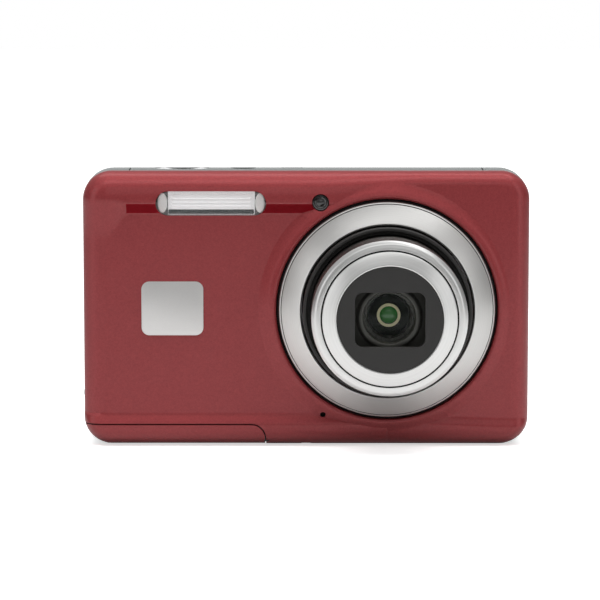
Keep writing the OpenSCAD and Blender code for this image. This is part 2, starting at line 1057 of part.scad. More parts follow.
module screw_places() {
    for (x = [14, 26])
        translate([x, 2, 0])
            children();
    for (z = [14, 45])
        translate([body_w / 2, 1.5, z])
            rotate([0, -90, 0])
                children();
    translate([-body_w / 2, 1.5, 45])
        rotate([0, 90, 0])
            children();
}

module case_screws() {
    color(steel)
        screw_places()
            difference() {
                union() {
                    translate([0, 0, 0.3])
                        cylinder(r = 1.3, h = 0.6);
                    translate([0, 0, 0.5])
                        cylinder(r = 0.7, h = 2.7);
                }
                cube([1.5, 0.35, 1.2], center = true);
                cube([0.35, 1.5, 1.2], center = true);
            }
}

front_cover();
rear_cover();
top_cover();
chassis();
battery_door();
door_hinge_plate();
door_hinge_pin();
battery_chamber();
battery();
battery_latch();
memory_card();
card_socket();
main_board();
key_board();
lcd_panel();
lcd_window();
flash_window();
flash_reflector();
flash_tube();
flash_capacitor();
af_lamp_lens();
microphone();
speaker();
shutter_button();
top_switch_board();
power_button();
status_lamp();
zoom_rocker();
movie_button();
mode_button();
menu_button();
play_button();
nav_web();
nav_ring();
ok_button();
badge_plate();
lens_trim_ring();
lens_base();
cam_ring();
outer_barrel();
front_barrel();
front_trim_ring();
front_bezel();
barrier_blade_upper();
barrier_blade_lower();
front_lens_cell();
front_lens();
shutter_unit();
middle_lens();
focus_group();
image_sensor();
zoom_motor();
motor_pinion();
idler_gear();
focus_motor();
tripod_socket();
strap_lug();
port_cover();
usb_socket();
case_screws();
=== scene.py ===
import json
import math

import bpy
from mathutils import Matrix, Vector


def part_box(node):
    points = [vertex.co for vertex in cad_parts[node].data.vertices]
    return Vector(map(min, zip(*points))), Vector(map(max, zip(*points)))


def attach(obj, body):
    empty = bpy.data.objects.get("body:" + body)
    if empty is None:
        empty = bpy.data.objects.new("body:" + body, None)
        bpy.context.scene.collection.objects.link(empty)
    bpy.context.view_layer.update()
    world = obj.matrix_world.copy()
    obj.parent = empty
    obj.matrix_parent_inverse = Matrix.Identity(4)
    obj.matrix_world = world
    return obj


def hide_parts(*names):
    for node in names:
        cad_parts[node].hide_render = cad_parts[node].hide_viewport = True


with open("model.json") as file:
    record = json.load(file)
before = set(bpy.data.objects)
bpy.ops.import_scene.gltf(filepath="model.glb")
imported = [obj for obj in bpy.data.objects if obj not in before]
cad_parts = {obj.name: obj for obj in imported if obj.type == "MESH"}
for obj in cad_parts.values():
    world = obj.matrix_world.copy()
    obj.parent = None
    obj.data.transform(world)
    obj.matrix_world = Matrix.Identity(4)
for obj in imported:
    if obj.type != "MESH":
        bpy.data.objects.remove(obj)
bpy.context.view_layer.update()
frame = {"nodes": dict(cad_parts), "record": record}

MM = 0.001
nodes = frame["nodes"]


# ---- The studio ----
# A pale floor under a pale sky, with soft boxes above, in front, behind and to both sides.
# The camera stands a little above the lens, square to the front of the camera body.

case_low, case_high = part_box("rear_cover")
case_mid = (case_low + case_high) / 2
ring_low, ring_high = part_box("lens_trim_ring")
axis = (ring_low + ring_high) / 2          # a point on the lens axis

VIEW_BACK = 500 * MM                       # from the middle of the camera to the lens that looks at it
VIEW_UP = 85.8 * MM                        # above the floor
VIEW_SIDE = -1.5 * MM
VIEW_PITCH = math.radians(5.5)             # how far the view looks down

camera_data = bpy.data.cameras.new("camera")
camera_data.sensor_width = 36
camera_data.lens = 146
camera_data.clip_start = 0.01
camera_data.shift_x = 0.002
camera_data.shift_y = -0.068
camera = bpy.data.objects.new("camera", camera_data)
bpy.context.scene.collection.objects.link(camera)
camera.location = (VIEW_SIDE, -VIEW_BACK, VIEW_UP)
camera.rotation_euler = (math.pi / 2 - VIEW_PITCH, 0, 0)
bpy.context.scene.camera = camera
bpy.context.scene.view_settings.view_transform = "Standard"


def soft_box(name, place, size, power, target=(0, 0, 0.028), mirrored=True):
    light = bpy.data.lights.new(name, "AREA")
    light.shape = "RECTANGLE"
    light.size, light.size_y = size
    light.energy = power
    lamp = bpy.data.objects.new(name, light)
    bpy.context.scene.collection.objects.link(lamp)
    lamp.location = place
    lamp.rotation_euler = (Vector(target) - Vector(place)).to_track_quat("-Z", "Y").to_euler()
    lamp.visible_camera = False
    lamp.visible_glossy = mirrored


soft_box("top_box", (0, -0.15, 0.6), (1.0, 0.4), 4.8, mirrored=False)
soft_box("key_box", (0.05, 0.12, 0.6), (0.9, 0.16), 0.8)
soft_box("crown_box", (0.05, -0.25, 0.58), (0.8, 0.2), 0.5)
soft_box("left_box", (-0.6, -0.35, 0.22), (0.35, 0.5), 0.48)
soft_box("right_box", (0.6, -0.35, 0.22), (0.35, 0.5), 0.42)
soft_box("front_box", (0.1, -0.9, 0.4), (0.6, 0.3), 0.35)
soft_box("back_box", (0, 0.9, 0.12), (1.6, 0.34), 1.4)


def by_ray(tree, camera_value, gloss_value, other_value):
    """A grey level that differs for what is seen straight on, in reflections, and in scattered light."""
    path = tree.nodes.new("ShaderNodeLightPath")
    level = other_value
    for output, value in (("Is Glossy Ray", gloss_value), ("Is Camera Ray", camera_value)):
        pick = tree.nodes.new("ShaderNodeMix")
        for socket, source in (("A", level), ("B", value)):
            if isinstance(source, float):
                pick.inputs[socket].default_value = source
            else:
                tree.links.new(source, pick.inputs[socket])
        tree.links.new(path.outputs[output], pick.inputs["Factor"])
        level = pick.outputs["Result"]
    return level


world = bpy.data.worlds.new("studio")
bpy.context.scene.world = world
world.use_nodes = True
air = world.node_tree
way = air.nodes.new("ShaderNodeTexCoord")
parts = air.nodes.new("ShaderNodeSeparateXYZ")
air.links.new(way.outputs["Generated"], parts.inputs["Vector"])
rise = air.nodes.new("ShaderNodeMapRange")
rise.inputs["From Min"].default_value = -0.05
rise.inputs["From Max"].default_value = 0.7
rise.inputs["To Min"].default_value = 0.03
rise.inputs["To Max"].default_value = 0.15
air.links.new(parts.outputs["Z"], rise.inputs["Value"])
bright_rise = air.nodes.new("ShaderNodeMath")
bright_rise.operation = "MULTIPLY"
bright_rise.inputs[1].default_value = 3.0
air.links.new(rise.outputs["Result"], bright_rise.inputs[0])
sky = air.nodes["Background"]
sky.inputs["Color"].default_value = (1, 1, 1, 1)
air.links.new(by_ray(air, 1.0, bright_rise.outputs["Value"], rise.outputs["Result"]), sky.inputs["Strength"])


def deselect():
    if bpy.context.object and bpy.context.object.mode != "OBJECT":
        bpy.ops.object.mode_set(mode="OBJECT")
    bpy.ops.object.select_all(action="DESELECT")


def material(name, colour, roughness=0.5, metallic=0.0, grain=0.2, variation=0.05, bump=0.0, **sockets):
    """A finish with a fine grain: noise of the given size in millimetres shifts tone, gloss and height."""
    made = bpy.data.materials.new(name)
    made.use_nodes = True
    tree = made.node_tree
    shader = tree.nodes["Principled BSDF"]
    shader.inputs["Metallic"].default_value = metallic
    place = tree.nodes.new("ShaderNodeTexCoord")
    noise = tree.nodes.new("ShaderNodeTexNoise")
    noise.inputs["Scale"].default_value = 1 / (grain * MM)
    noise.inputs["Detail"].default_value = 3
    tree.links.new(place.outputs["Object"], noise.inputs["Vector"])
    tone = tree.nodes.new("ShaderNodeMapRange")
    tone.inputs["To Min"].default_value = 1 - variation
    tone.inputs["To Max"].default_value = 1 + variation
    tree.links.new(noise.outputs["Fac"], tone.inputs["Value"])
    tint = tree.nodes.new("ShaderNodeVectorMath")
    tint.operation = "SCALE"
    tint.inputs[0].default_value = colour
    tree.links.new(tone.outputs["Result"], tint.inputs["Scale"])
    tree.links.new(tint.outputs["Vector"], shader.inputs["Base Color"])
    gloss = tree.nodes.new("ShaderNodeMapRange")
    gloss.inputs["To Min"].default_value = roughness * 0.88
    gloss.inputs["To Max"].default_value = min(1, roughness * 1.12)
    tree.links.new(noise.outputs["Fac"], gloss.inputs["Value"])
    tree.links.new(gloss.outputs["Result"], shader.inputs["Roughness"])
    if bump:
        relief = tree.nodes.new("ShaderNodeBump")
        relief.inputs["Strength"].default_value = bump
        relief.inputs["Distance"].default_value = 0.1 * MM
        tree.links.new(noise.outputs["Fac"], relief.inputs["Height"])
        tree.links.new(relief.outputs["Normal"], shader.inputs["Normal"])
    for socket, value in sockets.items():
        shader.inputs[socket.replace("_", " ")].default_value = value
    return made


def dress(piece, *finishes):
    piece.data.materials.clear()
    for finish in finishes:
        piece.data.materials.append(finish)
    return piece


deselect()
bpy.ops.mesh.primitive_plane_add(size=16, location=(0, 0, case_low.z - 0.02 * MM))
floor = bpy.context.object
floor.name = "floor"
bpy.ops.object.transform_apply(location=True, rotation=True, scale=True)
paper = material("paper", (0.9, 0.9, 0.9), roughness=0.9, grain=3, variation=0.01)
sheet_tree = paper.node_tree
sheet = sheet_tree.nodes["Principled BSDF"]
tone = sheet_tree.nodes.new("ShaderNodeCombineColor")
level = by_ray(sheet_tree, 0.9, 0.75, 0.4)
for channel in ("Red", "Green", "Blue"):
    sheet_tree.links.new(level, tone.inputs[channel])
sheet_tree.links.new(tone.outputs["Color"], sheet.inputs["Base Color"])
spot = sheet_tree.nodes.new("ShaderNodeTexCoord")
far = sheet_tree.nodes.new("ShaderNodeVectorMath")
far.operation = "LENGTH"
sheet_tree.links.new(spot.outputs["Object"], far.inputs[0])
glow = sheet_tree.nodes.new("ShaderNodeMapRange")
glow.inputs["From Min"].default_value = 0.12
glow.inputs["From Max"].default_value = 0.7
glow.inputs["To Min"].default_value = 0.6
glow.inputs["To Max"].default_value = 1.05
sheet_tree.links.new(far.outputs["Value"], glow.inputs["Value"])
sheet_tree.links.new(by_ray(sheet_tree, glow.outputs["Result"], 0.1, 0.0), sheet.inputs["Emission Strength"])
sheet.inputs["Emission Color"].default_value = (1, 1, 1, 1)
sheet.inputs["Specular IOR Level"].default_value = 0
dress(floor, paper)


# ---- Front cover ----
# A moulded cover with a sunk panel on the left, a brow above it, a sill below it and a raised collar
# round the lens, sprayed with a red metallic paint and a clear coat. The front of the battery door is
# cut from the same shell, and a black lip behind its seam keeps light out.

COVER_SEAM = -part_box("front_cover")[1].y / MM       # how far the cover's back edge is forward
PANEL = 8.2                                # how far forward the panel, brow, sill and collar stand
BROW = 9.3
SILL = 9.1
COLLAR = 9.55
COLLAR_REACH = 26.2                        # radius at which the collar meets the cover
BAND = 40.6                                # where the flat panel ends and the side bands begin
HOLE = 22.5                                # radius of the opening in the collar
FRONT_WALL = 1.15
FRONT_CORNER = 5.8
cover_low, cover_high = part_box("front_cover")
cover_half = ((cover_high.x - cover_low.x) / 2 / MM, (case_mid.z - 0.225 * MM) / MM)
middle = case_mid.z / MM
lens_x, lens_z = axis.x / MM, axis.z / MM


def ease(value, low, high):
    """0 below low, 1 above high, smooth between."""
    part = min(1, max(0, (value - low) / (high - low)))
    return part * part * (3 - 2 * part)


def share_of(value, low, high):
    return min(1, max(0, (value - low) / (high - low)))


def front_height(x, z):
    """How far forward the face of the front cover stands, without the collar."""
    left = 1 - ease(x, 2, 26)
    soft = ease(-x, 36.2, 41)
    foot = 47.8 - 5.5 * soft
    step = share_of(z, foot, foot + 1.95 + 7 * soft)
    step = (1 - soft) * step + soft * ease(step, 0, 1)
    brow = PANEL + (BROW - PANEL) * step - 1.15 * (max(0, z - 50.2) / 5) ** 2
    plain = 8.75 - 0.35 * ((z - middle) / 24) ** 2
    height = left * brow + (1 - left) * plain
    side = abs(x) - (BAND if x < 0 else BAND + 1)
    if side > 0:
        height -= 0.13 * side + 0.03 * side ** 2
    if x > lens_x:
        rise = share_of(6.6 - 0.035 * (x - lens_x) - z, 0, 1.6)
        return max(height, height + (SILL - 0.25 - height) * rise) - 1.1 * (max(0, 4.4 - z) / 4.4) ** 2
    sill = PANEL + (SILL - PANEL) * share_of(6.55 - z, 0, 1.8) - (0.05 * max(0, side) ** 1.3)
    if z < 6.55:
        height = max(height, sill) if side > 0 else sill
    return height - 1.15 * (max(0, 4.4 - z) / 4.4) ** 2


def rolled_grid(name, half, corner, rows, step, place):
    """A grid over a rounded rectangle. Its outer rows follow rows, and place gives each point's depth."""
    count = len(rows)
    inner = rows[-1][0]
    across = [round(2 * (h - inner) / step) for h in half]
    cells = [n + 2 * (count - 1) for n in across]
    deselect()
    bpy.ops.mesh.primitive_grid_add(x_subdivisions=cells[0], y_subdivisions=cells[1], size=2)
    sheet = bpy.context.object
    sheet.name = name

    def raw(index, axis_number):
        rim = min(index, cells[axis_number] - index)
        if rim < count - 1:
            distance = half[axis_number] - inner + (count - 1 - rim) * 0.35
        else:
            distance = (half[axis_number] - inner) * (1 - 2 * (rim - count + 1) / across[axis_number])
        return distance * (1 if 2 * index > cells[axis_number] else -1), rim

    for vertex in sheet.data.vertices:
        i = round((vertex.co.x + 1) / 2 * cells[0])
        j = round((vertex.co.y + 1) / 2 * cells[1])
        (x, rim_x), (z, rim_z) = raw(i, 0), raw(j, 1)
        rim = min(rim_x, rim_z, count - 1)
        inset = rows[rim][0]
        dx = abs(x) - (half[0] - corner)
        dz = abs(z) - (half[1] - corner)
        sx, sz = math.copysign(1, x), math.copysign(1, z)
        if dx > 0 and dz > 0:
            length = math.hypot(dx, dz)
            nx, nz = dx / length, dz / length
            reach = corner - inset if rim < count - 1 else max(dx, dz)
            x = sx * (half[0] - corner + nx * reach)
            z = sz * (half[1] - corner + nz * reach)
        else:
            nx, nz = (1, 0) if rim_x < rim_z else (0, 1)
            if rim < count - 1 and rim_x <= rim_z:
                x = sx * (half[0] - inset)
            if rim < count - 1 and rim_z <= rim_x:
                z = sz * (half[1] - inset)
        vertex.co = place(x, z + middle, rim, nx * sx, nz * sz)
    return sheet


ROLL = 3.0                                           # width of the rounded rim of the front
roll_rows = [(0, 0), (0, 0.12)]
for turn in range(1, 13):
    angle = math.pi / 2 * turn / 12
    roll_rows.append((ROLL * (1 - math.cos(angle)) ** 1.15, 0.12 + 0.88 * math.sin(angle)))


def on_front(x, z, rim, nx, nz):
    share = roll_rows[rim][1]
    depth = COVER_SEAM + share * (front_height(x, z) - COVER_SEAM)
    return x * MM, -depth * MM, z * MM


def thicken(sheet, wall):
    shell = sheet.modifiers.new("wall", "SOLIDIFY")
    shell.thickness = wall * MM
    shell.offset = -1
    bpy.context.view_layer.objects.active = sheet
    bpy.ops.object.modifier_apply(modifier="wall")
    return sheet


def outward(piece):
    deselect()
    bpy.context.view_layer.objects.active = piece
    piece.select_set(True)
    bpy.ops.object.mode_set(mode="EDIT")
    bpy.ops.mesh.select_all(action="SELECT")
    bpy.ops.mesh.remove_doubles(threshold=0.001 * MM)
    bpy.ops.mesh.normals_make_consistent(inside=False)
    bpy.ops.object.mode_set(mode="OBJECT")
    return piece


def carve(piece, tool, operation="DIFFERENCE"):
    cut = piece.modifiers.new("cut", "BOOLEAN")
    cut.operation = operation
    cut.object = tool
    cut.solver = "MANIFOLD"
    bpy.context.view_layer.objects.active = piece
    bpy.ops.object.modifier_apply(modifier="cut")
    bpy.data.objects.remove(tool)
    return piece


def turned(name, profile, centre=None, closed=True, sides=144, edge=0.0, segments=3, upright=False):
    """A turned body. profile holds radius and distance: forward, or upward where upright, in millimetres.
    An open profile starts with a flat end and stops at its last point, which may be on the axis."""
    across, second = centre or (lens_x, lens_z)

    def at(distance):
        return Vector((across, second, distance) if upright else (across, -distance, second)) * MM

    radius, ahead = profile[0]
    deselect()
    bpy.ops.mesh.primitive_circle_add(
        vertices=sides, radius=radius * MM, location=at(ahead), rotation=(0 if upright else math.pi / 2, 0, 0),
        fill_type="NOTHING" if closed else "NGON"
    )
    piece = bpy.context.object
    piece.name = name
    bpy.ops.object.transform_apply(location=True, rotation=True, scale=True)
    bpy.ops.object.mode_set(mode="EDIT")
    bpy.ops.mesh.select_all(action="SELECT")
    for next_radius, next_ahead in profile[1:] + ([profile[0]] if closed else []):
        bpy.ops.mesh.extrude_region_move(TRANSFORM_OT_translate={"value": at(next_ahead) - at(ahead)})
        size = next_radius / radius
        sizes = (size, size, 1) if upright else (size, 1, size)
        bpy.ops.transform.resize(value=sizes, center_override=at(next_ahead))
        radius, ahead = next_radius, next_ahead
    bpy.ops.object.mode_set(mode="OBJECT")
    outward(piece)
    if edge:
        soften(piece, edge, segments)
    return piece


def soften(piece, width, segments=3, angle=30):
    """Rounds the sharp edges and shades the rest smooth."""
    deselect()
    piece.select_set(True)
    bpy.context.view_layer.objects.active = piece
    if width:
        rounding = piece.modifiers.new("round", "BEVEL")
        rounding.width = width * MM
        rounding.segments = segments
        rounding.limit_method = "ANGLE"
        rounding.angle_limit = math.radians(angle)
        rounding.harden_normals = False
        bpy.ops.object.modifier_apply(modifier="round")
    bpy.ops.object.shade_smooth_by_angle(angle=math.radians(angle))
    return piece


def pill(name, centre, length, width, low, high, sides=64, direction="Y"):
    """A straight bar of stadium outline; low and high are its ends along direction, in millimetres."""
    turn = {"Y": (math.pi / 2, 0, 0), "Z": (0, 0, 0)}[direction]
    deselect()
    half = (high - low) / 2
    bpy.ops.mesh.primitive_cylinder_add(vertices=sides, radius=width / 2 * MM, depth=2 * half * MM, rotation=turn)
    piece = bpy.context.object
    piece.name = name
    bpy.ops.object.transform_apply(location=True, rotation=True, scale=True)
    stretch = max(0, length - width) / 2
    halfway = (low + high) / 2
    across = {"Y": (centre[0], halfway, centre[1]), "Z": (centre[0], centre[1], halfway)}[direction]
    for vertex in piece.data.vertices:
        if abs(vertex.co.x) > 0.001 * MM:
            vertex.co.x += math.copysign(stretch, vertex.co.x) * MM
        vertex.co += Vector(across) * MM
    return piece


def slab(name, low, high, corner=0.0, direction="Y", segments=8):
    """A box between two corners in millimetres, with the edges along direction rounded."""
    low, high = Vector(low) * MM, Vector(high) * MM
    deselect()
    bpy.ops.mesh.primitive_cube_add(size=1, location=(low + high) / 2, scale=high - low)
    piece = bpy.context.object
    piece.name = name
    bpy.ops.object.transform_apply(location=True, rotation=True, scale=True)
    if corner:
        along = "XYZ".index(direction)
        for edge in piece.data.edges:
            a, b = (piece.data.vertices[v].co for v in edge.vertices)
            edge.select = abs((a - b)[along]) > 0.5 * (high - low)[along]
        for polygon in piece.data.polygons:
            polygon.select = False
        bpy.ops.object.mode_set(mode="EDIT")
        bpy.ops.mesh.select_mode(type="EDGE")
        bpy.ops.mesh.bevel(offset=corner * MM, segments=segments, affect="EDGES")
        bpy.ops.object.mode_set(mode="OBJECT")
    return piece


def copy_of(piece, name):
    twin = piece.copy()
    twin.data = piece.data.copy()
    twin.name = name
    bpy.context.scene.collection.objects.link(twin)
    return twin


def flake_paint(name, colour, deep, metallic, coat, specular):
    """Metallic lacquer: small flakes of two tones under a clear coat."""
    made = bpy.data.materials.new(name)
    made.use_nodes = True
    tree = made.node_tree
    shader = tree.nodes["Principled BSDF"]
    place = tree.nodes.new("ShaderNodeTexCoord")
    flakes = tree.nodes.new("ShaderNodeTexVoronoi")
    flakes.inputs["Scale"].default_value = 1 / (0.16 * MM)
    tree.links.new(place.outputs["Object"], flakes.inputs["Vector"])
    cloud = tree.nodes.new("ShaderNodeTexNoise")
    cloud.inputs["Scale"].default_value = 1 / (0.5 * MM)
    tree.links.new(place.outputs["Object"], cloud.inputs["Vector"])
    sparkle = tree.nodes.new("ShaderNodeSeparateColor")
    tree.links.new(flakes.outputs["Color"], sparkle.inputs["Color"])
    blend = tree.nodes.new("ShaderNodeMix")
    blend.data_type = "RGBA"
    blend.inputs["A"].default_value = (*deep, 1)
    blend.inputs["B"].default_value = (*colour, 1)
    mean = tree.nodes.new("ShaderNodeMath")
    mean.operation = "MULTIPLY_ADD"
    mean.inputs[1].default_value = 0.6
    tree.links.new(sparkle.outputs["Red"], mean.inputs[0])
    tree.links.new(cloud.outputs["Fac"], mean.inputs[2])
    half = tree.nodes.new("ShaderNodeMath")
    half.operation = "MULTIPLY"
    half.inputs[1].default_value = 0.62
    tree.links.new(mean.outputs["Value"], half.inputs[0])
    tree.links.new(half.outputs["Value"], blend.inputs["Factor"])
    tree.links.new(blend.outputs["Result"], shader.inputs["Base Color"])
    relief = tree.nodes.new("ShaderNodeBump")
    relief.inputs["Strength"].default_value = 0.12
    relief.inputs["Distance"].default_value = 0.03 * MM
    tree.links.new(sparkle.outputs["Green"], relief.inputs["Height"])
    tree.links.new(relief.outputs["Normal"], shader.inputs["Normal"])
    shader.inputs["Metallic"].default_value = metallic
    shader.inputs["Roughness"].default_value = 0.42
    shader.inputs["Specular IOR Level"].default_value = specular
    shader.inputs["Coat Weight"].default_value = coat
    shader.inputs["Coat Roughness"].default_value = 0.14
    return made


red_paint = flake_paint("red_flake_paint", (0.39, 0.05, 0.054), (0.23, 0.024, 0.028),
                        metallic=0.45, coat=0.32, specular=0.5)
# A darker, glossless red: painted shade for the step under the brow.
painted_shade_red = flake_paint("red_paint_painted_shade", (0.34, 0.002, 0.012), (0.24, 0.001, 0.006),
                       metallic=0, coat=0, specular=0.1)


def face_towards(sheet, sign):
    """Turns an open sheet's normals to the front (-1) or to the back (1)."""
    outward(sheet)
    if sum(polygon.normal.y * polygon.area for polygon in sheet.data.polygons) * sign < 0:
        bpy.ops.object.mode_set(mode="EDIT")
        bpy.ops.mesh.flip_normals()
        bpy.ops.object.mode_set(mode="OBJECT")


front = rolled_grid("front_shell", cover_half, FRONT_CORNER, roll_rows, 0.32, on_front)
face_towards(front, -1)
thicken(front, FRONT_WALL)
collar = turned("collar", [
    (HOLE, 6.5), (HOLE, COLLAR - 0.55), (HOLE + 0.12, COLLAR - 0.2), (HOLE + 0.45, COLLAR - 0.03),
    (HOLE + 0.85, COLLAR - 0.06), (HOLE + 1.7, COLLAR - 0.42), (COLLAR_REACH, PANEL - 0.05),
    (COLLAR_REACH + 0.2, PANEL - 1.1), (HOLE + 1, 6.5)
], sides=180)
carve(front, pill("lens_hole", (lens_x, lens_z), 2 * HOLE + 0.8, 2 * HOLE + 0.8, -14, -2, sides=180))
carve(front, collar, "UNION")

door_low, door_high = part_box("battery_door")
DOOR_TOP = 4.5
DOOR_END = door_high.x / MM
DOOR_ROUND = 2.7                           # radius of the door's inner top corner
SEAM = 0.27


def door_block(name, gap, front_end, back_end):
    """The space of the battery door, seen from the front: rounded at its inner top corner."""
    block = slab(name, (-60, front_end, -3), (DOOR_END + gap, back_end, DOOR_TOP + gap))
    for edge in block.data.edges:
        a, b = (block.data.vertices[v].co for v in edge.vertices)
        edge.select = min(a.x, b.x) > -0.05 and min(a.z, b.z) > 0 and abs(a.y - b.y) > MM
    for polygon in block.data.polygons:
        polygon.select = False
    bpy.ops.object.mode_set(mode="EDIT")
    bpy.ops.mesh.select_mode(type="EDGE")
    bpy.ops.mesh.bevel(offset=(DOOR_ROUND + gap) * MM, segments=10, affect="EDGES")
    bpy.ops.object.mode_set(mode="OBJECT")
    return block


door_front = copy_of(front, "battery_door_front")
carve(door_front, door_block("door_space", 0, -30, 30), "INTERSECT")
carve(front, door_block("door_gap", SEAM, -30, 30))

lip = door_block("seam_lip", 0.9, -7.75, -7.2)
carve(lip, door_block("inner_side", -0.1, -30, 30))
carve(lip, slab("lip_ends", (-44.3, -30, 0.95), (0, 30, 8)), "INTERSECT")
soften(lip, 0.05, 1)

flash_low, flash_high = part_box("flash_window")
flash_mid = (flash_low + flash_high) / 2 / MM
FLASH = (22.1, 4.7)
carve(front, pill("flash_hole", (flash_mid.x, flash_mid.z), FLASH[0] + 0.3, FLASH[1] + 0.3, -14, -3))
lamp_mid = sum(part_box("af_lamp_lens"), Vector()) / 2 / MM
carve(front, pill("lamp_hole", (lamp_mid.x, lamp_mid.z), 3.5, 3.5, -14, -3))
voice_mid = sum(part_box("microphone"), Vector()) / 2 / MM
carve(front, pill("voice_hole", (voice_mid.x, voice_mid.z), 1.15, 1.15, -14, -3, sides=32))
soften(front, 0, angle=32)
dress(front, red_paint, painted_shade_red)
# Down-facing faces of the step under the brow take the darker red: painted shade in the recess.
STEP = (Vector((-36.3, -9.4, 47.7)), Vector((3, -8.1, 49.9)))      # the space of the step under the brow
for polygon in front.data.polygons:
    spot = polygon.center / MM
    if all(STEP[0][k] < spot[k] < STEP[1][k] for k in range(3)) and polygon.normal.z < -0.3:
        polygon.material_index = 1
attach(front, "body")
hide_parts("front_cover")
soften(door_front, 0, angle=32)
dress(door_front, red_paint)
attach(door_front, "door")
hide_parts("battery_door")
dress(lip, material("black_moulding", (0.015, 0.015, 0.015), roughness=0.6, grain=0.2, variation=0.2))
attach(lip, "body")


# ---- Rear cover, top cover and door tray ----
# Grey moulded plastic, painted satin. The sides are slightly crowned and the back edges rounded.
# The top plate and the tray of the battery door are cut from the same shell.

grey_paint = material("grey_satin_paint", (0.2, 0.215, 0.212), roughness=0.42, metallic=0.3, grain=0.12,
                      variation=0.06, bump=0.06, Coat_Weight=0.15)
CROWN = 0.45                               # how much the sides swell
CREST = 1.5                                # where they are widest, behind the middle
BACK_EDGE = 7.5                            # where the rounding of the back edges starts
BACK_ROUND = 2.9
FOOT_ROUND = 2.0
CASE_WALL = 1.2
CASE_CORNER = 6
crown_rows = []
for part in range(9):
    depth = -COVER_SEAM + (BACK_EDGE + COVER_SEAM) * part / 8
    crown_rows.append((CROWN * ((depth - CREST) / 6) ** 2, 0.0, depth))
for part in range(1, 11):
    angle = math.pi / 2 * part / 10
    crown_rows.append((CROWN + BACK_ROUND * (1 - math.cos(angle)), FOOT_ROUND * (1 - math.cos(angle)),
                       BACK_EDGE + BACK_ROUND * math.sin(angle)))


def on_back(x, z, rim, nx, nz):
    inset, foot, depth = crown_rows[rim]
    low = max(0, -nz)
    z -= low * (inset - foot) * (1 if rim < len(crown_rows) - 1 else 0)
    return x * MM, depth * MM, z * MM


case_half = ((case_high.x - case_low.x) / 2 / MM, middle)
back = rolled_grid("rear_shell", case_half, CASE_CORNER, crown_rows, 1.0, on_back)
face_towards(back, 1)
thicken(back, CASE_WALL)
tray = copy_of(back, "battery_door_tray")
carve(tray, door_block("door_space", 0, -4.5, door_high.y / MM), "INTERSECT")
carve(tray, slab("lift", (-60, -30, -2), (0, 30, door_low.z / MM)))
carve(back, door_block("door_gap", SEAM, -30, door_high.y / MM + SEAM))

top_low, top_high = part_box("top_cover")
top = copy_of(back, "top_plate")
carve(top, slab("top_space", (top_low.x / MM, -4.5, 50), (top_high.x / MM, top_high.y / MM, 60)), "INTERSECT")
carve(back, slab("top_gap", (top_low.x / MM - SEAM, -9, 53),
                 (top_high.x / MM + SEAM, top_high.y / MM + SEAM, 60)))

window_low, window_high = (Vector(c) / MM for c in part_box("lcd_window"))
carve(back, slab("window_seat", (window_low.x - 0.12, window_low.y, window_low.z - 0.12),
                 (window_high.x + 0.12, 14, window_high.z + 0.12), 2.1))
carve(back, slab("window_hole", (window_low.x + 2, 5, window_low.z + 2),
                 (window_high.x - 2, 14, window_high.z - 2), 0.8))
KEY_GAP = 0.2
rear_keys = ["movie_button", "mode_button", "menu_button", "play_button"]
KEY_WIDTH = 5.0
for key in rear_keys:
    key_mid = sum(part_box(key), Vector()) / 2 / MM
    carve(back, pill("key_hole", (key_mid.x, key_mid.z), KEY_WIDTH + 2 * KEY_GAP, KEY_WIDTH + 2 * KEY_GAP, 5, 14))
nav_low, nav_high = (Vector(c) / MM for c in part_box("nav_ring"))
nav_mid = (nav_low + nav_high) / 2
nav_width = nav_high.x - nav_low.x + 2 * KEY_GAP
carve(back, pill("nav_hole", (nav_mid.x, nav_mid.z), nav_width, nav_width, 5, 14, sides=96))
rock_low, rock_high = (Vector(c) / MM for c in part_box("zoom_rocker"))
rock_mid = (rock_low + rock_high) / 2
carve(back, pill("rocker_hole", (rock_mid.x, rock_mid.z), rock_high.x - rock_low.x + 2 * KEY_GAP,
                 rock_high.z - rock_low.z + 2 * KEY_GAP, 5, 14))
carve(back, pill("socket_hole", (0, 0), 9.2, 9.2, -3, 3, direction="Z"))
speaker_mid = sum(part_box("speaker"), Vector()) / 2 / MM
for place in range(-2, 3):
    carve(back, pill("sound_hole", (speaker_mid.x + 2.2 * place, speaker_mid.y), 1, 1, -3, 3, 24, "Z"))
port_low, port_high = (Vector(c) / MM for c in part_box("port_cover"))
carve(back, slab("port_gap", (43, port_low.y - 0.2, port_low.z + 0.5), (50, 7, port_high.z - 0.5)))
lug_low, lug_high = (Vector(c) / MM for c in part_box("strap_lug"))
carve(back, slab("lug_gap", (-50, lug_low.y + 1.7, lug_low.z + 0.7), (-43, lug_high.y - 1.7, lug_high.z - 0.7)))
shutter_low, shutter_high = (Vector(c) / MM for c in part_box("shutter_button"))
shutter_mid = (shutter_low + shutter_high) / 2
SHUTTER = (10.9, 5.6)
carve(top, pill("shutter_hole", (shutter_mid.x, shutter_mid.y), SHUTTER[0] + 0.3, SHUTTER[1] + 0.3, 50, 60,
                direction="Z"))
power_mid = sum(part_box("power_button"), Vector()) / 2 / MM
carve(top, pill("power_hole", (power_mid.x, power_mid.y), 5.3, 5.3, 50, 60, direction="Z"))
status_mid = sum(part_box("status_lamp"), Vector()) / 2 / MM
carve(top, slab("status_hole", (status_mid.x - 2.2, status_mid.y - 0.8, 50),
                (status_mid.x + 2.2, status_mid.y + 0.8, 60)))
for piece, body, node in ((back, "body", "rear_cover"), (tray, "door", "battery_door"), (top, "body", "top_cover")):
    dress(piece, grey_paint)
    soften(piece, 0, angle=32)
    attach(piece, body)
    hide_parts(node)
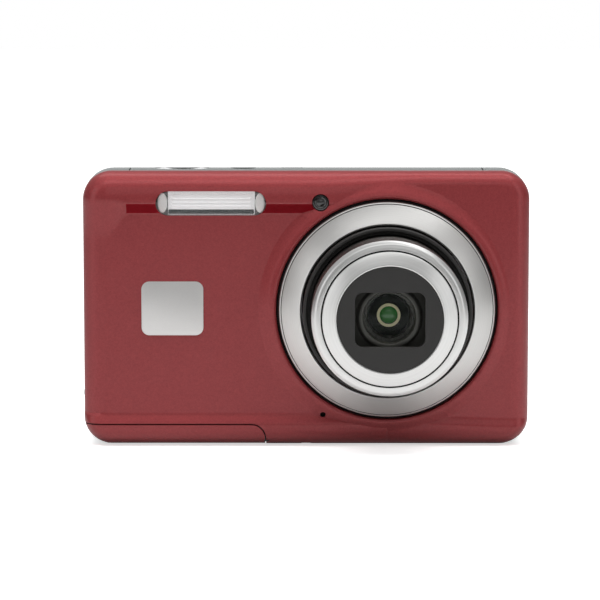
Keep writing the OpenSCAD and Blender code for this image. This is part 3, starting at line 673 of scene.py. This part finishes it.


# ---- Lens ----
# Turned aluminium and moulded rings, one inside the next: trim ring, black outer barrel, silver
# front barrel whose side is darkened as painted shade, with its domed front ring, black front plate, lens cell and
# coated lenses.

def turned_metal(name, colour, roughness, grooves, strength, anisotropy):
    """Machined metal: fine rings about the lens axis, grooves millimetres wide."""
    made = bpy.data.materials.new(name)
    made.use_nodes = True
    tree = made.node_tree
    shader = tree.nodes["Principled BSDF"]
    place = tree.nodes.new("ShaderNodeTexCoord")
    centre = tree.nodes.new("ShaderNodeMapping")
    centre.inputs["Location"].default_value = (-axis.x, 0, -axis.z)
    centre.inputs["Scale"].default_value = (1, 0.2, 1)
    tree.links.new(place.outputs["Object"], centre.inputs["Vector"])
    span = tree.nodes.new("ShaderNodeVectorMath")
    span.operation = "LENGTH"
    tree.links.new(centre.outputs["Vector"], span.inputs[0])
    rings = tree.nodes.new("ShaderNodeTexNoise")
    rings.noise_dimensions = "1D"
    rings.inputs["Scale"].default_value = 1 / (grooves * MM)
    rings.inputs["Detail"].default_value = 2
    tree.links.new(span.outputs["Value"], rings.inputs["W"])
    tone = tree.nodes.new("ShaderNodeMapRange")
    tone.inputs["To Min"].default_value = 0.93
    tone.inputs["To Max"].default_value = 1.05
    tree.links.new(rings.outputs["Fac"], tone.inputs["Value"])
    tint = tree.nodes.new("ShaderNodeVectorMath")
    tint.operation = "SCALE"
    tint.inputs[0].default_value = colour
    tree.links.new(tone.outputs["Result"], tint.inputs["Scale"])
    tree.links.new(tint.outputs["Vector"], shader.inputs["Base Color"])
    relief = tree.nodes.new("ShaderNodeBump")
    relief.inputs["Strength"].default_value = strength
    relief.inputs["Distance"].default_value = 0.02 * MM
    tree.links.new(rings.outputs["Fac"], relief.inputs["Height"])
    tree.links.new(relief.outputs["Normal"], shader.inputs["Normal"])
    around = tree.nodes.new("ShaderNodeTangent")
    around.direction_type = "RADIAL"
    around.axis = "Y"
    tree.links.new(around.outputs["Tangent"], shader.inputs["Tangent"])
    shader.inputs["Metallic"].default_value = 1
    shader.inputs["Roughness"].default_value = roughness
    shader.inputs["Anisotropic"].default_value = anisotropy
    return made


def off_axis(polygon):
    """How far a face is from the lens axis, in millimetres."""
    return math.hypot(polygon.center.x - axis.x, polygon.center.z - axis.z) / MM


def fit(piece, finish, body, slot, *replaced):
    dress(piece, finish)
    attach(piece, body)
    if replaced:
        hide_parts(*replaced)
    return piece


spun = turned_metal("spun_aluminium", (0.66, 0.655, 0.64), 0.36, 0.16, 0.5, 0.35)
satin_metal = turned_metal("satin_aluminium", (0.74, 0.74, 0.73), 0.33, 0.3, 0.12, 0.25)
# A dark copy of the turned metal for the front barrel's side: painted shade on the silver barrel.
barrel_side_painted_shade = turned_metal("barrel_side_with_painted_shade", (0.11, 0.108, 0.1), 0.38, 0.2, 0.12, 0.2)
lens_black = material("satin_black", (0.022, 0.021, 0.02), roughness=0.42, grain=0.15, variation=0.12, bump=0.05)
# Flocked black for dark inner parts, also used as painted shade in grooves and gaps.
black_and_painted_shade = material("flocked_black_and_painted_shade", (0.008, 0.008, 0.008), roughness=0.8, grain=0.2, variation=0.2)

RIM = (21.45, 21.6)                        # radii of the fine groove beside the trim ring's rim
trim = turned("trim_ring", [
    (23.6, 7.05), (23.6, 7.7), (22.4, 7.7), (22.4, 8.6), (22.0, 9.15), (21.92, 9.5), (RIM[1], 9.8),
    (RIM[1] - 0.02, 9.6), (RIM[0] + 0.02, 9.6), (RIM[0], 9.92), (17.95, 12.3), (17.7, 12.48), (17.42, 12.3),
    (17.38, 7.05)
], sides=192)
soften(trim, 0.04, 2)
fit(trim, spun, "body", "lens_silver", "lens_trim_ring")
# Rear faces of the ring, in the gap to the collar and down the bore, and the fine groove by the rim take flocked
# black: painted shade.
trim.data.materials.append(black_and_painted_shade)
for polygon in trim.data.polygons:
    away = off_axis(polygon)
    if polygon.center.y > -9.1 * MM or (RIM[0] < away < RIM[1] and polygon.center.y > -9.7 * MM):
        polygon.material_index = 1

fit(turned("outer_tube", [
    (17.1, -1.8), (17.1, 13.9), (16.95, 14.1), (16.4, 14.1), (16.24, 13.9), (16.24, 12.7), (15.6, 12.7),
    (15.6, 11.9), (16.24, 11.9), (16.24, -1.8)
], sides=144, edge=0.04, segments=2), lens_black, "barrel_outer", "lens_black", "outer_barrel")

fit(turned("front_tube", [
    (14.5, 9.5), (16.1, 9.5), (16.1, 10.3), (15.45, 10.3), (15.45, 24.3), (14.5, 24.3), (14.5, 18),
    (8, 18), (8, 17), (14.5, 17)
], sides=144, edge=0.04, segments=2), barrel_side_painted_shade, "barrel_front", "lens_silver", "front_barrel")

GROOVE = (13.35, 13.6)                      # radii of the groove in the front ring
front_ring = turned("front_ring", [
    (13.5, 24.3), (15.45, 24.3), (15.45, 24.45), (15.15, 24.75), (14.92, 25.1), (14.5, 25.32),
    (GROOVE[1] + 0.03, 25.5), (GROOVE[1], 25.0), (GROOVE[0], 25.0), (GROOVE[0] - 0.03, 25.66), (13.1, 25.82),
    (12.4, 26.2), (11.7, 26.6), (11.0, 26.95), (10.75, 27.08), (10.57, 27.0), (10.55, 26), (12.4, 25.6)
], sides=192)
soften(front_ring, 0.03, 2)
fit(front_ring, satin_metal, "barrel_front", "lens_silver", "front_trim_ring")
# The faces of the groove in the front ring take flocked black: painted shade.
front_ring.data.materials.append(black_and_painted_shade)
for polygon in front_ring.data.polygons:
    away = off_axis(polygon)
    if GROOVE[0] - 0.02 < away < GROOVE[1] + 0.02 and polygon.center.y > -25.6 * MM:
        polygon.material_index = 1

WINDOW = (13.8, 10.8)
plate = turned("front_plate", [(12.2, 25.2), (12.2, 25.6), (10.5, 25.6), (10.5, 26.95), (1, 26.95), (1, 25.2)],
               sides=144)
carve(plate, slab("window_cut", (lens_x - WINDOW[0] / 2, -30, lens_z - WINDOW[1] / 2),
                  (lens_x + WINDOW[0] / 2, -20, lens_z + WINDOW[1] / 2), 1.6))
soften(plate, 0.42, 1)
fit(plate, lens_black, "barrel_front", "lens_black", "front_bezel")
plate.data.materials.append(material("chamfer_painted_highlight", (0.2, 0.2, 0.195), roughness=0.45, metallic=0.2, grain=0.3))
# Up-facing faces of the window's chamfer take a lighter grey: painted highlight.
for polygon in plate.data.polygons:
    away = off_axis(polygon)
    if 0.3 < polygon.normal.z < 0.95 and polygon.normal.y < -0.3 and away < 10:
        polygon.material_index = 1

cell_black = material("cell_grey_black", (0.095, 0.095, 0.085), roughness=0.38, metallic=0.2, grain=0.15,
                      variation=0.1)
fit(turned("lens_cell", [
    (9.8, 18), (9.8, 22), (6.6, 22.3), (6.15, 23.0), (5.95, 23.1), (5.35, 23.1), (5.2, 22.95), (5.1, 22.4),
    (5.1, 20.2), (4.5, 20.2), (4.1, 18)
], sides=96, edge=0.05, segments=2), cell_black, "barrel_front", "lens_black", "front_lens_cell")

coated = material("coated_glass", (0.03, 0.06, 0.035), roughness=0.03, grain=1, variation=0.1, Alpha=0.1,
                  Coat_Weight=1.0, Coat_Roughness=0.02)
dress(nodes["front_lens"], coated)

fit(turned("shutter_block", [
    (7.9, 16), (7.9, 18), (4.1, 18.05), (3.4, 18.0), (2.4, 18.0), (2.35, 18.55), (1.8, 18.55), (1.8, 16)
], sides=96, edge=0.04, segments=2), black_and_painted_shade, "barrel_front", "brass", "shutter_unit")
tan_ring = turned("stop_ring", [
    (2.36, 18.3), (2.36, 18.62), (2.2, 18.72), (1.95, 18.72), (1.8, 18.62), (1.8, 18.3)
], sides=64)
soften(tan_ring, 0)
# The brass stop ring glows faintly by emission: painted light.
fit(tan_ring, material("warm_brass_painted_glow", (0.85, 0.78, 0.5), roughness=0.35, grain=0.4, variation=0.15,
                       Emission_Color=(0.6, 0.58, 0.36, 1), Emission_Strength=0.22), "barrel_front", "brass")
green_glass = turned("middle_glass", [
    (1.85, 15.6), (1.85, 17.3), (1.5, 17.55), (1.1, 17.72), (0.6, 17.84), (0, 17.88)
], closed=False, sides=64)
soften(green_glass, 0)
# The green coating has its own green and also glows faintly by emission: painted light.
fit(green_glass, material("green_coating_painted_glow", (0.05, 0.26, 0.06), roughness=0.2, grain=1.2, variation=0.5,
                          Coat_Weight=1.0, Emission_Color=(0.05, 0.3, 0.05, 1), Emission_Strength=0.1),
    "barrel_front", "coated_glass", "middle_lens")


# ---- Flash, lamps, microphone and badge ----
# Clear window over a bright ribbed trough with frosted ends, both made to glow faintly as painted light,
# and a dark strip along its lower edge as painted shadow; a dark lens for the focusing lamp; a plain metal badge
# glued on.

clear_cover = material("clear_cover", (0.93, 0.95, 0.95), roughness=0.06, grain=0.6, variation=0.02, Alpha=0.1,
                       Coat_Weight=0.3, Coat_Roughness=0.03)
window = pill("flash_cover", (flash_mid.x, flash_mid.z), FLASH[0], FLASH[1], -9.2, -7)
soften(window, 0.35, 4)
fit(window, clear_cover, "body", "glass", "flash_window")
# The frosted end caps glow faintly by emission: painted light.
frosted = material("frosted_white_painted_glow", (0.82, 0.83, 0.81), roughness=0.5, grain=0.25, variation=0.06, bump=0.2,
                   Emission_Color=(1, 1, 0.98, 1), Emission_Strength=0.2)
# The reflector glows faintly by emission: painted light, as the flash is off.
bright = material("reflector_painted_glow", (0.93, 0.93, 0.94), roughness=0.35, metallic=0.1, grain=0.5, variation=0.03,
                  Emission_Color=(1, 1, 1, 1), Emission_Strength=0.3)
TROUGH = (17.4, 4.3)
trough = slab("flash_trough", (flash_mid.x - TROUGH[0] / 2, -6.95, flash_mid.z - TROUGH[1] / 2),
              (flash_mid.x + TROUGH[0] / 2, -6.45, flash_mid.z + TROUGH[1] / 2), 0.5)
for row in range(4):
    rib_z = flash_mid.z - 0.95 + 0.75 * row
    rib = pill("rib", (flash_mid.x, rib_z), TROUGH[0] - 1.2, 0.7, -7.15, -6.6, sides=24)
    carve(trough, rib, "UNION")
soften(trough, 0.08, 2)
fit(trough, bright, "body", "chrome")
for side in (-1, 1):
    cap_x = flash_mid.x + side * (FLASH[0] / 2 - 1.15)
    cap = pill("flash_end", (cap_x, flash_mid.z), 1.9, 1.9, -7.3, -6.6)
    for vertex in cap.data.vertices:
        vertex.co.z = flash_mid.z * MM + (vertex.co.z - flash_mid.z * MM) * 2.1
    soften(cap, 0.3, 3)
    cap.name = "flash_end_left" if side < 0 else "flash_end_right"
    fit(cap, frosted, "body", "glass")
# A black strip along the lower edge of the trough: painted shadow.
painted_shadow_strip = slab("flash_painted_shadow", (flash_mid.x - TROUGH[0] / 2, -7.2, flash_mid.z - 2.2),
                 (flash_mid.x + TROUGH[0] / 2, -6.9, flash_mid.z - 1.3), 0.2)
soften(painted_shadow_strip, 0.05, 2)
painted_shadow_black = material("painted_shadow_black", (0.01, 0.018, 0.018), roughness=0.4, grain=0.3, variation=0.3)
fit(painted_shadow_strip, painted_shadow_black, "body", "chrome")
dress(nodes["flash_reflector"], bright)
clear = material("clear_glass", (0.97, 0.98, 0.98), roughness=0.03, grain=1, variation=0.01,
                 Transmission_Weight=1.0, IOR=1.5)
dress(nodes["flash_tube"], clear)
lamp_glass = material("lamp_dark", (0.012, 0.011, 0.011), roughness=0.12, grain=0.5, variation=0.2, Coat_Weight=1.0)
lamp = turned("lamp_dome", [
    (2.2, 6.2), (2.2, 6.9), (1.65, 6.9), (1.65, 8.65), (1.52, 8.85), (1.3, 8.88), (1.12, 8.6), (0.9, 8.5),
    (0.75, 8.6), (0.35, 8.72), (0, 8.76)
], centre=(lamp_mid.x, lamp_mid.z), closed=False, sides=64)
soften(lamp, 0, angle=40)
fit(lamp, lamp_glass, "body", "dark_amber", "af_lamp_lens")
badge_low, badge_high = (Vector(c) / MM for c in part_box("badge_plate"))
badge = slab("badge", badge_low, badge_high, 1.6)
soften(badge, 0.08, 3)
fit(badge, material("badge_silver", (0.72, 0.71, 0.7), roughness=0.35, metallic=0.8, grain=0.2, variation=0.04),
    "body", "chrome", "badge_plate")


# ---- Top controls ----
# Bright plated shutter button with a finger dish, a round power button with a dark disc in its centre
# as painted shade, and the white window of the status lamp.

chrome = material("chrome_plate", (0.82, 0.82, 0.83), roughness=0.14, metallic=1, grain=1, variation=0.02)
silver_plastic = material("satin_silver", (0.62, 0.63, 0.64), roughness=0.3, metallic=0.6, grain=0.12,
                          variation=0.04, bump=0.03)
shutter = pill("shutter_cap", (shutter_mid.x, shutter_mid.y), SHUTTER[0], SHUTTER[1], 53.4, shutter_high.z,
               direction="Z")
deselect()
DISH = 34                                  # radius of the finger dish, and how deep it goes
DISH_DEPTH = 0.3
bpy.ops.mesh.primitive_uv_sphere_add(
    segments=96, ring_count=48, radius=DISH * MM,
    location=(shutter_mid.x * MM, shutter_mid.y * MM, (shutter_high.z + DISH - DISH_DEPTH) * MM)
)
carve(shutter, bpy.context.object)
soften(shutter, 0.35, 4)
fit(shutter, chrome, "shutter", "silver_plastic", "shutter_button")
power = turned("power_cap", [
    (2.5, 53.5), (2.5, 55.7), (2.35, 56.0), (2.05, 56.1), (1.75, 55.95), (1.6, 55.6), (0, 55.55)
], centre=(power_mid.x, power_mid.y), closed=False, sides=72, upright=True)
soften(power, 0)
fit(power, chrome, "power", "silver_plastic", "power_button")
# A dark disc in the power button's centre: painted shade where the button sits low.
power_painted_shade = turned("power_centre_painted_shade", [(1.5, 55.5), (1.5, 55.75), (1.3, 55.85), (0, 55.85)],
                   centre=(power_mid.x, power_mid.y), closed=False, sides=48, upright=True)
soften(power_painted_shade, 0)
painted_shade_plastic = material("dark_grey_painted_shade", (0.045, 0.05, 0.05), roughness=0.4, grain=0.15, variation=0.15,
                        bump=0.06)
fit(power_painted_shade, painted_shade_plastic, "power", "silver_plastic")
status = slab("status_window", (status_mid.x - 2.1, status_mid.y - 0.7, 54.3),
              (status_mid.x + 2.1, status_mid.y + 0.7, 56.4), 0.3, "Z")
soften(status, 0.12, 3)
fit(status, material("milky_window", (0.9, 0.91, 0.9), roughness=0.3, grain=0.3, variation=0.03, Coat_Weight=0.5),
    "body", "glass", "status_lamp")


# ---- Rear controls and display ----
# Moulded keys with shallow dishes, a four-way ring round the OK key, a ribbed zoom rocker and a
# glossy display window. Their signs are plain shapes printed on them.

key_plastic = material("key_grey_plastic", (0.42, 0.43, 0.43), roughness=0.34, metallic=0.3, grain=0.12,
                       variation=0.05, bump=0.04)
print_dark = material("printed_sign", (0.03, 0.03, 0.035), roughness=0.5, grain=0.1, variation=0.1)
print_red = material("printed_red_dot", (0.5, 0.02, 0.02), roughness=0.45, grain=0.1, variation=0.1)
for key in rear_keys:
    place = sum(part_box(key), Vector()) / 2 / MM
    cap = turned(key.replace("button", "cap"), [
        (2.5, -8.6), (2.5, -10.25), (2.38, -10.5), (2.15, -10.62), (1.9, -10.6), (1.2, -10.52), (0, -10.5)
    ], centre=(place.x, place.z), closed=False, sides=72)
    soften(cap, 0)
    fit(cap, key_plastic, key.replace("button", "key"), "grey_plastic", key)


def sign(name, shapes, finish, body):
    """Small printed shapes on a rear key; each shape has a place, a radius, a count of sides and a turn."""
    pieces = []
    for (x, z), radius, sides, turn in shapes:
        deselect()
        bpy.ops.mesh.primitive_cylinder_add(vertices=sides, radius=radius * MM, depth=0.1 * MM,
                                            location=(x * MM, 10.58 * MM, z * MM), rotation=(math.pi / 2, turn, 0))
        bpy.ops.object.transform_apply(location=True, rotation=True, scale=True)
        pieces.append(bpy.context.object)
    for piece in pieces:
        piece.select_set(True)
    bpy.context.view_layer.objects.active = pieces[0]
    bpy.ops.object.join()
    pieces[0].name = name
    soften(pieces[0], 0.02, 1)
    fit(pieces[0], finish, body, "grey_plastic")


places = {key: sum(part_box(key), Vector()) / 2 / MM for key in rear_keys}
movie, mode, menu, play = (places[key] for key in rear_keys)
sign("movie_sign", [((movie.x, movie.z), 0.75, 32, 0)], print_red, "movie_key")
sign("mode_sign", [
    ((mode.x + 0.55 * a, mode.z + 0.55 * b), 0.5, 4, math.pi / 4) for a in (-1, 1) for b in (-1, 1)
], print_dark, "mode_key")
sign("menu_sign", [((menu.x, menu.z + 0.65 * a), 0.22, 4, math.pi / 4) for a in (-1, 0, 1)], print_dark, "menu_key")
sign("play_sign", [((play.x, play.z), 0.95, 3, math.pi / 2)], print_dark, "play_key")

nav = turned("nav_cap", [
    (8.45, -8.8), (8.45, -10.2), (8.25, -10.52), (7.9, -10.66), (7.3, -10.6), (6.0, -10.3), (4.8, -10.42),
    (4.2, -10.5), (3.85, -10.42), (3.7, -10.2), (3.7, -9.3), (6.2, -9.2), (6.3, -8.8)
], centre=(nav_mid.x, nav_mid.z), sides=120)
soften(nav, 0)
fit(nav, silver_plastic, "nav", "silver_plastic", "nav_ring")
ok_cap = turned("ok_cap", [(3.4, -8.95), (3.4, -10.15), (3.25, -10.4), (2.9, -10.5), (2.2, -10.42), (0, -10.3)],
                centre=(nav_mid.x, nav_mid.z), closed=False, sides=96)
soften(ok_cap, 0)
fit(ok_cap, key_plastic, "ok_key", "grey_plastic", "ok_button")
rocker = pill("rocker_cap", (rock_mid.x, rock_mid.z), rock_high.x - rock_low.x, rock_high.z - rock_low.z, 8.6, 10.7)
soften(rocker, 0.5, 4)
for side in (-1, 1):
    for row in range(3):
        rib = pill("rib", (rock_mid.x + side * (3.6 + 0.9 * row), rock_mid.z), 0.4, 0.4, 10.4, 10.86, sides=16)
        for vertex in rib.data.vertices:
            vertex.co.z = rock_mid.z * MM + (vertex.co.z - rock_mid.z * MM) * 6.5
        carve(rocker, rib, "UNION")
soften(rocker, 0)
fit(rocker, silver_plastic, "zoom_lever", "silver_plastic", "zoom_rocker")
dark_window = material("dark_window", (0.008, 0.008, 0.01), roughness=0.05, grain=2, variation=0.2, Coat_Weight=1.0)
display = slab("display_window", window_low, window_high, 2)
soften(display, 0.25, 4)
fit(display, dark_window, "body", "dark_window", "lcd_window")

steel = material("bright_steel", (0.55, 0.55, 0.56), roughness=0.3, metallic=1, grain=0.4, variation=0.06,
                 bump=0.05)
THREAD_PITCH = 1.27
thread = [
    (4.5, 6.6), (4.5, 2.5), (5.4, 2.5), (5.4, 1.5), (4.5, 1.5), (4.5, 0.35), (4.3, 0.08), (3.35, 0.05), (3.15, 0.25)
]
for turn in range(4):
    thread += [(2.6, 0.75 + THREAD_PITCH * turn), (3.12, 1.35 + THREAD_PITCH * turn)]
thread += [(2.55, 5.5), (0, 5.5)]
socket = turned("socket_insert", thread, centre=(0, 0), closed=False, sides=72, upright=True)
soften(socket, 0, angle=25)
fit(socket, steel, "body", "steel", "tripod_socket")


# ---- Everything inside ----
# Frame, boards, motors, gears, battery and card keep their moulded or stamped shapes and take the
# finish of their material.

board = material("board_green", (0.02, 0.13, 0.06), roughness=0.35, grain=0.5, variation=0.2, Coat_Weight=0.4)
black_plastic = material("black_plastic", (0.02, 0.02, 0.02), roughness=0.5, grain=0.2, variation=0.2, bump=0.1)
brass = material("brass", (0.7, 0.52, 0.24), roughness=0.3, metallic=1, grain=0.4, variation=0.08)
nylon = material("white_nylon", (0.75, 0.74, 0.68), roughness=0.45, grain=0.4, variation=0.05)
wrap = material("battery_wrap", (0.05, 0.05, 0.055), roughness=0.3, grain=0.6, variation=0.2)
orange = material("orange_plastic", (0.6, 0.2, 0.03), roughness=0.35, grain=0.3, variation=0.1)
by_slot = {
    "steel": steel, "board": board, "black_plastic": black_plastic, "chrome": chrome, "dark_window": dark_window,
    "brass": brass, "nylon": nylon, "battery_wrap": wrap, "orange_plastic": orange, "glass": clear,
    "coated_glass": coated, "lens_black": lens_black, "lens_silver": satin_metal, "silver_plastic": silver_plastic,
    "grey_plastic": grey_paint, "dark_amber": lamp_glass, "red_paint": red_paint
}
dress(nodes["microphone"], black_and_painted_shade)
done = {"front_lens", "flash_reflector", "flash_tube", "microphone"}
for part in frame["record"]["subparts"]:
    if part["node"] not in done:
        dress(nodes[part["node"]], by_slot[part["material_slot"]])
